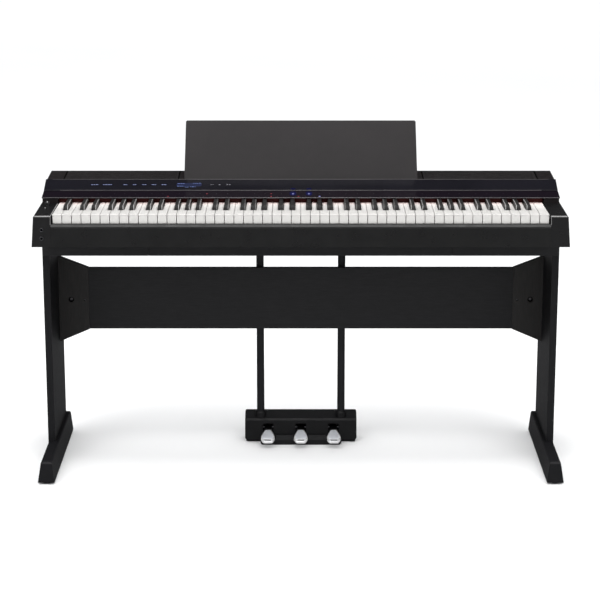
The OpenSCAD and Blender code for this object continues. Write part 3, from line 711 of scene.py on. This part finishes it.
def marks(name, face, items, mat, thick=0.12):
    """Thin raised marks on a sloping face. items: (x, t, width, height) in mm, t along the slope."""
    bm = bmesh.new()
    for x, t, w, h in items:
        (cx, cy, cz), u, n = on_face(face, t, x, 0.0)
        pts = pill(0, 0, w, h, 4)
        lo = [bm.verts.new((cx + a, cy + u[0] * b - n[0] * 0.1, cz + u[1] * b - n[1] * 0.1)) for a, b in pts]
        hi = [bm.verts.new((cx + a, cy + u[0] * b + n[0] * thick, cz + u[1] * b + n[1] * thick)) for a, b in pts]
        bm.faces.new(hi)
        bm.faces.new(lo[::-1])
        skin(bm, lo, hi)
    return ride(add(name, bm, mat, smooth=False), "root", "panel_gloss")


def bars(xa, xb, t, h, lengths, gap=1.2):
    """A row of short bars that fills xa..xb, standing for a legend without lettering."""
    total = sum(lengths) + gap * (len(lengths) - 1)
    k = (xb - xa) / total
    out, x = [], xa
    for L in lengths:
        out.append((x + L * k / 2, t, L * k, h))
        x += (L + gap) * k
    return out


legend = []
for (a, b), ls in (((-538.7, -520.3), (4, 3, 5)), ((-508.2, -485.3), (3, 5, 4, 3)), ((-455.3, -445.3), (5, 3)), ((-431.6, -422.4), (3, 5)),
                   ((-407.7, -397.2), (4, 4)), ((-383.0, -371.4), (5, 4)), ((-357.2, -345.1), (3, 5))):
    legend += bars(a, b, 0.50, 1.9, ls, 0.8)
# painted glow: a faint blue patch round each lit legend
painted_glows = [((a + b) / 2, 0.50, b - a + 5.0, 5.6) for a, b in ((-538.7, -520.3), (-508.2, -485.3), (-455.3, -445.3), (-431.6, -422.4),
                                                            (-407.7, -397.2), (-383.0, -371.4), (-357.2, -345.1))]
marks("touch_legend_painted_glows", PANEL, painted_glows, M["legend_painted_glow"], 0.03)
marks("touch_legends", PANEL, legend, M["blue_soft"], 0.06)
marks("display_glass", PANEL, [(-287, 0.50, 66, 15)], M["blue_deep"], 0.03)
disp = bars(-317, -299, 0.60, 1.3, (5, 3, 4)) + bars(-277, -256, 0.62, 1.3, (2, 3, 3, 4)) \
    + bars(-317, -301, 0.36, 1.6, (4, 5, 3)) + bars(-298, -288, 0.27, 1.5, (3, 5)) + bars(-284, -270, 0.30, 1.8, (2, 4, 2))
marks("display_bars", PANEL, disp, M["blue"], 0.08)
marks("touch_marks_grey", PANEL, [(-230, 0.50, 4, 1.0), (-225.5, 0.50, 2.2, 1.0), (-208.8, 0.50, 4.4, 1.8), (-188.5, 0.50, 3.8, 1.8), (-182.6, 0.50, 4.0, 1.8)],
      M["grey_mark"], 0.05)
guide = []
for w in range(52):
    guide.append((KX0 + (w + 0.5) * PITCH, 0.13, 2.6, 1.6))
for w in range(51):
    if has_black(w):
        guide.append((black_x(w), 0.55, 2.2, 1.4))


lit_red = [(-337.0, 0.13), (-75.3, 0.13), (-6.2, 0.13), (-239.4, 0.55), (-75.3, 0.55)]
lit_blue = [(-20.0, 0.55), (20.8, 0.55), (47.8, 0.13)]
unlit = [g for g in guide if not any(abs(g[0] - x) < 9 and abs(g[1] - t) < 0.1 for x, t in lit_red + lit_blue)]
marks("guide_lights_unlit", STRIP, unlit, M["unlit"], 0.05)
marks("guide_lights_red", STRIP, [(x, t, 3.6, 4.6) for x, t in lit_red], M["red"], 0.06)
marks("guide_lights_haze", STRIP, [(x, t + 0.05, 17.0, 28.0) for x, t in lit_blue[:2]], M["blue_haze"], 0.02)
marks("panel_haze", PANEL, [(x, 0.10, 13.0, 7.0) for x, t in lit_blue[:2]], M["blue_haze"], 0.02)
marks("guide_lights_halo", STRIP, [(x, t, 11.0, 18.0) for x, t in lit_blue[:2]] + [(lit_blue[2][0], 0.16, 6.0, 8.0)], M["blue_halo"], 0.04)
marks("guide_lights_blue", STRIP, [(x, t, 4.4, 6.8) for x, t in lit_blue], M["blue_dot"])


# painted highlights: a fine light line along the foot of the touch panel, another along its top edge, and a bright line
# on the lip below the light strip
def edge_line(name, y, z, x, r, mat):
    bm = bmesh.new()
    prism(bm, [(y + r * math.cos(math.radians(a)), z + r * math.sin(math.radians(a))) for a in range(0, 360, 30)], "x", -x, x)
    return ride(add(name, bm, mat), "root", "panel_gloss")


edge_line("panel_edge_highlight_line", 22.75, BZ + 100.55, 616, 0.75, M["panel_painted_highlight"])
bm = bmesh.new()
for sx in (-1, 1):
    a, b = sorted((sx * 616.2, sx * 657.0))
    prism(bm, [(22.75 + 0.85 * math.cos(math.radians(t)), BZ + 100.55 + 0.85 * math.sin(math.radians(t))) for t in range(0, 360, 30)], "x", a, b)
ride(add("panel_edge_ends", bm, M["panel_end"]), "root", "panel_gloss")
edge_line("panel_top_highlight_line", 67.3, BZ + 119.75, 640, 0.8, M["panel_painted_highlight"])
edge_line("strip_lip_highlight_line", -19.6, BZ + 90.7, 656.5, 0.95, M["trim"])


# shadow seams where the deck pieces meet
def seam(name, x, y0, y1, wide):
    bm = bmesh.new()
    up = 1.12 if abs(x) > 500 else 0.12
    prism(bm, [(y0, deck_z(y0) - 0.9), (y1, deck_z(y1) - 0.9), (y1, deck_z(y1) + up), (y0, deck_z(y0) + up)], "x", x - wide / 2, x + wide / 2)
    return ride(add(name, bm, M["seam"], smooth=False), "root", "case_top")


for k, x in enumerate((-613.2, -317.2, 317.2, 613.2)):
    seam("deck_seam_%d" % (k + 1), x, 72, 166, 3.4)


# ------------------------------------------------------------------ controls on the left cheek
def make_knob():
    bm = bmesh.new()
    cx, cy, z0 = -641.0, -40.0, BZ + 76.0
    n = 96
    prof = [(1.85, 6.0), (1.85, 0.6), (6.1, 0.6), (6.4, 0.9), (6.5, 1.4), (6.5, 7.2), (6.3, 7.9), (5.7, 8.35), (4.9, 8.4), (4.3, 8.15), (1.2, 8.0)]
    rings = []
    for r, z in prof:
        ring = []
        for k in range(n):
            a = 2 * math.pi * k / n
            flute = 0.22 * (1 if k % 4 < 2 else -1) if 1.0 < z < 7.4 and r > 6.4 else 0
            ring.append(bm.verts.new((cx + (r + min(0, flute)) * math.cos(a), cy + (r + min(0, flute)) * math.sin(a), z0 + z)))
        rings.append(ring)
    for a, b in zip(rings, rings[1:]):
        skin(bm, a, b)
    bm.faces.new(rings[-1])
    bm.faces.new(rings[0][::-1])
    o = add("volume_knob_cap", bm, M["control"])
    ride(o, "volume_knob", "control_black", "volume_knob")
    bm = bmesh.new()
    prism(bm, pill(cx, cy + 2.6, 2.8, 5.4, 5), "z", z0 + 8.0, z0 + 8.39)
    ride(add("volume_knob_pointer", bm, M["pointer"]), "volume_knob", "control_black")


make_knob()
bm = bmesh.new()
prism(bm, pill(-641, -80, 4.0, 4.0, 10), "z", BZ + 78.15, BZ + 78.3)
ride(add("power_mark", bm, M["pointer"]), "power_button", "control_black")
# painted highlight along the top and the inner side of each cheek's front
bm = bmesh.new()
front_y = lambda z: -172 + (z - BZ) * 12 / 73.5
for sx in (-1, 1):
    a, b = sorted((sx * 617.6, sx * 657.4))
    prism(bm, [(-160.05, BZ + 73.75), (-159.95, BZ + 73.45), (-157.0, BZ + 75.9), (-157.25, BZ + 76.1)], "x", a, b)
    a, b = sorted((sx * 617.15, sx * 618.5))
    prism(bm, [(front_y(BZ + 54) - 0.12, BZ + 54), (front_y(BZ + 54) + 0.8, BZ + 54), (front_y(BZ + 73.5) + 0.8, BZ + 73.5), (front_y(BZ + 73.5) - 0.12, BZ + 73.5)], "x", a, b)
ride(add("cheek_front_painted_highlights", bm, M["cheek_painted_highlight"], smooth=False), "root", "case_black")
# painted highlight on the inner top edge of the left cheek, beside the first key
bm = bmesh.new()
prism(bm, [(-617.5, BZ + 75.2), (-616.75, BZ + 75.2), (-616.75, BZ + 75.9), (-617.45, BZ + 76.12), (-618.2, BZ + 76.12), (-618.2, BZ + 75.6)], "y", -155, -20)
ride(add("left_cheek_painted_highlight", bm, M["painted_highlight"], smooth=False), "root", "case_black")


def torus(bm, c, axis, R, r, n=40, k=10):
    rings = []
    for i in range(n):
        a = 2 * math.pi * i / n
        ring = []
        for j in range(k):
            b = 2 * math.pi * j / k
            q, h = R + r * math.cos(b), r * math.sin(b)
            p = {"y": (q * math.cos(a), h, q * math.sin(a)), "z": (q * math.cos(a), q * math.sin(a), h)}[axis]
            ring.append(bm.verts.new((c[0] + p[0], c[1] + p[1], c[2] + p[2])))
        rings.append(ring)
    for i in range(n):
        skin(bm, rings[i], rings[(i + 1) % n])


bm = bmesh.new()
for z in (21.5, 42.0):
    torus(bm, (-639.5, -170.5 + (z - 21.5) * 0.17, BZ + z), "y", 3.75, 0.45)
ride(add("phones_jack_rings", bm, M["dark_steel"]), "root", "control_steel")
# painted shade: a black ring for the shade in each cam lock's recess, and a painted glint on its slot
bm = bmesh.new()
slot = bmesh.new()
for sx in (-606.6, 606.6):
    torus(bm, (sx, 114.3, 399.0), "y", 5.6, 1.75)
    prism(slot, [(114.6, 399.9), (115.3, 399.9), (115.3, 401.7), (114.6, 401.7)], "x", sx - 3.2, sx + 3.2)
ride(add("cam_lock_painted_shade_rings", bm, M["seam"]), "root", "control_black")
ride(add("cam_lock_painted_glints", slot, M["trim"]), "root", "control_steel")
bm = bmesh.new()
torus(bm, (-641, -80, BZ + 76.0), "z", 5.0, 0.35)
torus(bm, (-641, -40, BZ + 76.0), "z", 7.6, 0.3)
ride(add("control_rings", bm, M["control"]), "root", "control_black")


# ------------------------------------------------------------------ pedals
def rail_loft(name, cx, sec, mat, crown=0.45, sub=2):
    """Lofts rounded rectangles (y, half width, top, bottom) along Y; the corner radius follows from the size."""
    bm = bmesh.new()
    rings = []
    for y, w, t, b in sec:
        h = t - b
        r = min(2.6, h * 0.42, w * 0.8)
        prof = []
        for sx, sz, a0 in ((1, 1, 0), (-1, 1, 90), (-1, -1, 180), (1, -1, 270)):
            for k in range(5):
                a = math.radians(a0 + 90 * k / 4)
                px = sx * (w - r) + r * math.cos(a)
                pz = (t - r if sz > 0 else b + r) + r * math.sin(a)
                prof.append((px, pz))
        prof = [(px, pz + (crown * (1 - (px / w) ** 2) if pz > (t + b) / 2 + h * 0.3 else 0)) for px, pz in prof]
        rings.append([bm.verts.new((cx + px, y, pz)) for px, pz in prof])
    for a, b in zip(rings, rings[1:]):
        skin(bm, a, b)
    bm.faces.new(rings[0])
    bm.faces.new(rings[-1][::-1])
    o = add(name, bm, mat)
    if sub:
        m = o.modifiers.new("smooth", "SUBSURF")
        m.levels = m.render_levels = sub
    return o


def make_pedal(name, i):
    """A cast pedal: a black arm inside the box, then a bright tread with a rolled rim, a brushed middle and a small
    ledge at the toe, coloured dark as a painted shade line.
    """
    cx = i * 88.0
    arm = rail_loft(name + "_arm", cx, [(142.7, 10.2, 36.6, 25.3), (128.0, 10.3, 36.3, 25.4), (116.0, 10.2, 33.6, 25.4), (113.6, 10.2, 33.4, 25.4)],
                    M["dark_arm"], 0.2, 1)
    ride(arm, name)
    bm = bmesh.new()
    bearing(bm, 146.0, 31.0, 3.35, [(140.6, 31), (140.6, 26.0), (141.4, 25.5), (155.0, 25.5), (155.9, 26.4), (155.9, 31)],
            [(140.6, 31), (140.6, 35.8), (141.4, 36.4), (155.0, 36.4), (155.9, 35.5), (155.9, 31)], cx - 9.8, cx + 9.8)
    ride(add(name + "_hub", bm, M["dark_arm"], smooth=False), name)
    #        y     half  top   bottom
    sec = [(115.6, 7.2, 33.0, 26.0), (114.6, 8.6, 33.7, 25.3), (112.6, 9.3, 33.9, 25.1), (106.0, 10.6, 33.75, 25.0), (96.0, 12.9, 33.5, 24.6),
           (84.0, 15.7, 32.6, 23.8), (74.0, 17.9, 31.5, 22.8), (66.0, 18.4, 30.3, 21.6), (60.0, 17.7, 28.6, 20.4), (55.0, 15.6, 26.7, 19.3),
           (51.4, 13.2, 25.0, 18.5), (48.6, 10.6, 23.4, 18.2)]
    ride(rail_loft(name + "_tread", cx, sec, M["chrome"]), name, "pedal_chrome", name)
    sec_at = sorted(sec)

    def lerp(y, col):
        for a, b in zip(sec_at, sec_at[1:]):
            if a[0] <= y <= b[0]:
                t = (y - a[0]) / (b[0] - a[0])
                return a[col] + (b[col] - a[col]) * t
        return sec_at[-1][col]

    # brushed middle, let into the rim
    rows = []
    for y, trim in ((111.5, 4.4), (110.0, 3.5), (104, 3.0), (96, 2.9), (88, 2.9), (80, 2.9), (72, 2.9), (66, 3.0), (61.5, 3.6), (59.5, 4.8), (58.6, 6.6)):
        wd = lerp(y, 1) - trim
        rows.append([(cx + wd * k / 6, y, lerp(y, 2) + 0.45 * (1 - (wd * k / 6 / lerp(y, 1)) ** 2)) for k in range(-6, 7)])
    bm = bmesh.new()
    up = [[bm.verts.new((x, y, z + 0.04)) for x, y, z in r] for r in rows]
    dn = [[bm.verts.new((x, y, z - 1.0)) for x, y, z in r] for r in rows]
    n, R = 12, len(rows) - 1
    for a in range(R):
        for k in range(n):
            bm.faces.new((up[a][k], up[a][k + 1], up[a + 1][k + 1], up[a + 1][k]))
            bm.faces.new((dn[a][k], dn[a + 1][k], dn[a + 1][k + 1], dn[a][k + 1]))
        bm.faces.new((up[a][0], up[a + 1][0], dn[a + 1][0], dn[a][0]))
        bm.faces.new((up[a][n], dn[a][n], dn[a + 1][n], up[a + 1][n]))
    for k in range(n):
        bm.faces.new((up[0][k], dn[0][k], dn[0][k + 1], up[0][k + 1]))
        bm.faces.new((up[R][k], up[R][k + 1], dn[R][k + 1], dn[R][k]))
    ride(add(name + "_tread_middle", bm, M["chrome_brushed"]), name, "pedal_chrome")
    # ledge at the toe, coloured dark as a painted shade line
    bm = bmesh.new()
    prism(bm, [(-8.0, 52.9), (8.0, 52.9), (8.8, 54.2), (8.0, 55.4), (-8.0, 55.4), (-8.8, 54.2)], "z", 25.4, 27.05)
    bmesh.ops.translate(bm, vec=(cx, 0, 0), verts=bm.verts)
    ride(add(name + "_toe_ledge_painted_shade", bm, M["toe"], smooth=False), name, "pedal_chrome")


for nm, i in (("soft_pedal", -1), ("sostenuto_pedal", 0), ("damper_pedal", 1)):
    make_pedal(nm, i)


# ------------------------------------------------------------------ floor, light
def make_floor():
    bm = bmesh.new()
    s = 60.0
    vs = [bm.verts.new(p) for p in ((-s, -s, 0), (s, -s, 0), (s, s, 0), (-s, s, 0))]
    bm.faces.new(vs)
    m = Mat("floor_pale", (0.93, 0.93, 0.93), 0.8, 0.1)
    c = m.vary_color(0.6, 0.985, 1.01)
    # the floor is a little darker in reflections, as a flagged studio sweep is
    dim = m.nt.nodes.new("ShaderNodeMix")
    dim.data_type = "RGBA"
    dim.inputs[7].default_value = (0.20, 0.20, 0.205, 1)
    lp = m.nt.nodes.new("ShaderNodeLightPath")
    m.link(lp.outputs["Is Glossy Ray"], dim.inputs[0])
    m.link(c, dim.inputs[6])
    m.link(dim.outputs[2], m.b.inputs["Base Color"])
    # the far part of the sweep is lifted to white, as a lit backdrop would be
    sep = m.nt.nodes.new("ShaderNodeSeparateXYZ")
    m.link(m.tc.outputs["Object"], sep.inputs["Vector"])
    lift = m.nt.nodes.new("ShaderNodeMath")
    lift.operation = "MULTIPLY"
    m.link(m.remap(sep.outputs["Y"], 3.8, 10.5, 0.0, 0.13), lift.inputs[0])
    m.link(lp.outputs["Is Camera Ray"], lift.inputs[1])
    m.b.inputs["Emission Color"].default_value = (1, 1, 1, 1)
    m.link(lift.outputs["Value"], m.b.inputs["Emission Strength"])
    o = add("floor", bm, m.m, smooth=False, scale=1)


make_floor()


def area(name, loc, target, size, power, color=(1, 1, 1), size_y=None):
    d = bpy.data.lights.new(name, "AREA")
    d.energy = power
    d.color = color
    d.size = size
    if size_y:
        d.shape = "RECTANGLE"
        d.size_y = size_y
    o = bpy.data.objects.new(name, d)
    o.location = loc
    o.rotation_euler = (Vector(target) - Vector(loc)).to_track_quat("-Z", "Y").to_euler()
    scene.collection.objects.link(o)
    return o


area("front_top", (0.0, -2.4, 4.1), (0, -0.1, 0.65), 5.6, 95, size_y=1.1)
area("top", (0.0, -0.55, 3.9), (0, -0.1, 0.65), 4.4, 70, size_y=1.1)
area("front_left", (-3.4, -3.4, 2.3), (0, 0, 0.5), 2.2, 20, size_y=1.6)
area("front_right", (3.6, -3.2, 2.0), (0, 0, 0.5), 2.2, 12, size_y=1.6)

# pale studio: white behind the object, soft daylight all round, and dark flags behind for reflections
w = bpy.data.worlds.new("studio")
scene.world = w
w.use_nodes = True
wt = w.node_tree
out = wt.nodes["World Output"]
bg = wt.nodes["Background"]
bg.inputs["Color"].default_value = (0.985, 0.992, 1.0, 1)
bg.inputs["Strength"].default_value = 1.0
flags = wt.nodes.new("ShaderNodeBackground")
flags.inputs["Color"].default_value = (0.965, 0.960, 1.0, 1)
tc = wt.nodes.new("ShaderNodeTexCoord")
sep = wt.nodes.new("ShaderNodeSeparateXYZ")
mr = wt.nodes.new("ShaderNodeMapRange")
mr.inputs["From Min"].default_value = -0.35
mr.inputs["From Max"].default_value = 0.25
mr.inputs["To Min"].default_value = 0.30
mr.inputs["To Max"].default_value = 0.05
wt.links.new(tc.outputs["Generated"], sep.inputs["Vector"])
wt.links.new(sep.outputs["Y"], mr.inputs["Value"])
zen = wt.nodes.new("ShaderNodeMapRange")
zen.interpolation_type = "SMOOTHSTEP"
zen.inputs["From Min"].default_value = 0.90
zen.inputs["From Max"].default_value = 0.99
zen.inputs["To Max"].default_value = 1.3
wt.links.new(sep.outputs["Z"], zen.inputs["Value"])
both = wt.nodes.new("ShaderNodeMath")
both.operation = "ADD"
wt.links.new(mr.outputs["Result"], both.inputs[0])
wt.links.new(zen.outputs["Result"], both.inputs[1])
wt.links.new(both.outputs["Value"], flags.inputs["Strength"])
lp = wt.nodes.new("ShaderNodeLightPath")
mix = wt.nodes.new("ShaderNodeMixShader")
wt.links.new(lp.outputs["Is Glossy Ray"], mix.inputs["Fac"])
wt.links.new(bg.outputs["Background"], mix.inputs[1])
wt.links.new(flags.outputs["Background"], mix.inputs[2])
wt.links.new(mix.outputs["Shader"], out.inputs["Surface"])
scene.view_settings.view_transform = "Standard"
scene.cycles.use_denoising = True
scene.cycles.max_bounces = 6
